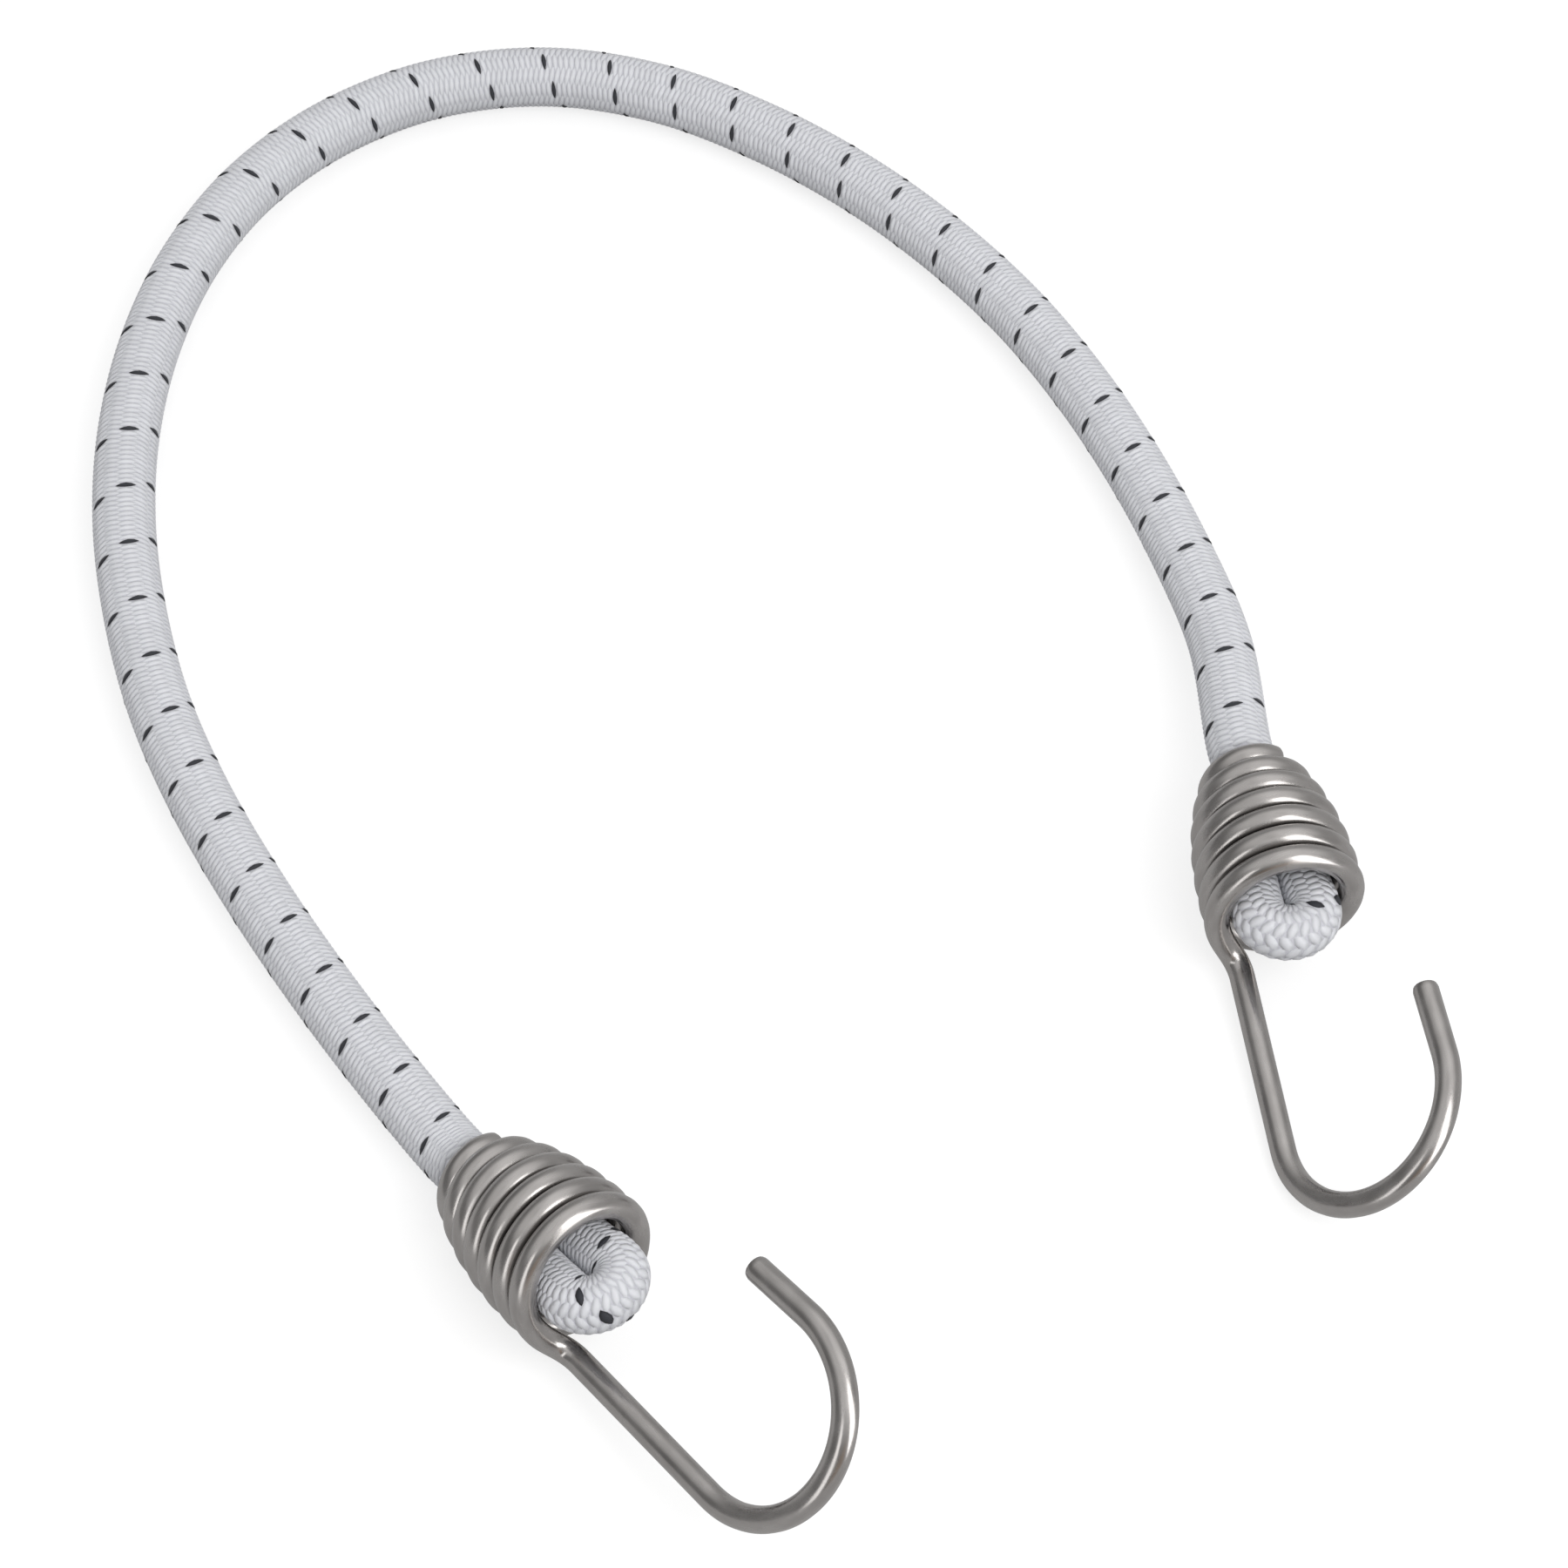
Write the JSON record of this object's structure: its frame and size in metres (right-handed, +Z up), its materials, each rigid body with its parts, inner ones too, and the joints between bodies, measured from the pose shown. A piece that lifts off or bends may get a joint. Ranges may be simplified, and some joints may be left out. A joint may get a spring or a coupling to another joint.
{
  "type": "bungee cord",
  "caption": "Braided elastic cord with a coiled wire hook at each end, lying in a loose arch; the hooks turn on the cord and the cord stretches.",
  "frame": {"origin": "on the table, under the middle of the box round the two hooks and the folded cord ends in them", "axes": "+Z up from the table; +X from the left hook to the right one; +Y towards the top of the arch of cord"},
  "size_m": [0.1692, 0.232, 0.0282],
  "materials": {
    "wire": "bright drawn steel wire",
    "braid": "tight white braid with short black tracer stitches",
    "latex": "natural rubber strands"
  },
  "bodies": {
    "cord": {"cord_sheath": "braid", "rubber_strand_1": "latex", "rubber_strand_2": "latex", "rubber_strand_3": "latex", "rubber_strand_4": "latex", "rubber_strand_5": "latex", "rubber_strand_6": "latex", "rubber_strand_7": "latex", "left_folded_sheath": "braid", "left_folded_core": "latex"},
    "left_hook": {"left_hook": "wire"},
    "right_end": {"right_folded_sheath": "braid", "right_folded_core": "latex"},
    "right_hook": {"right_hook": "wire"}
  },
  "joints": [
    {"name": "left_hook_turn", "type": "hinge", "parent": "cord", "child": "left_hook", "pos_m": [-0.04003, -0.02452, 0.0114], "axis": [0.6171, -0.746, 0.2504], "continuous": true},
    {"name": "stretch", "type": "slide", "parent": "cord", "child": "right_end", "axis": [0.1942, -0.981, 0], "range_m": [0, 0.19], "stiffness_N_per_m": 750, "deforming": ["cord_sheath", "rubber_strand_1", "rubber_strand_2", "rubber_strand_3", "rubber_strand_4", "rubber_strand_5", "rubber_strand_6", "rubber_strand_7"]},
    {"name": "right_hook_turn", "type": "hinge", "parent": "right_end", "child": "right_hook", "pos_m": [0.03953, 0.03278, 0.00984], "axis": [0.1938, -0.9788, 0.0663], "continuous": true}
  ]
}
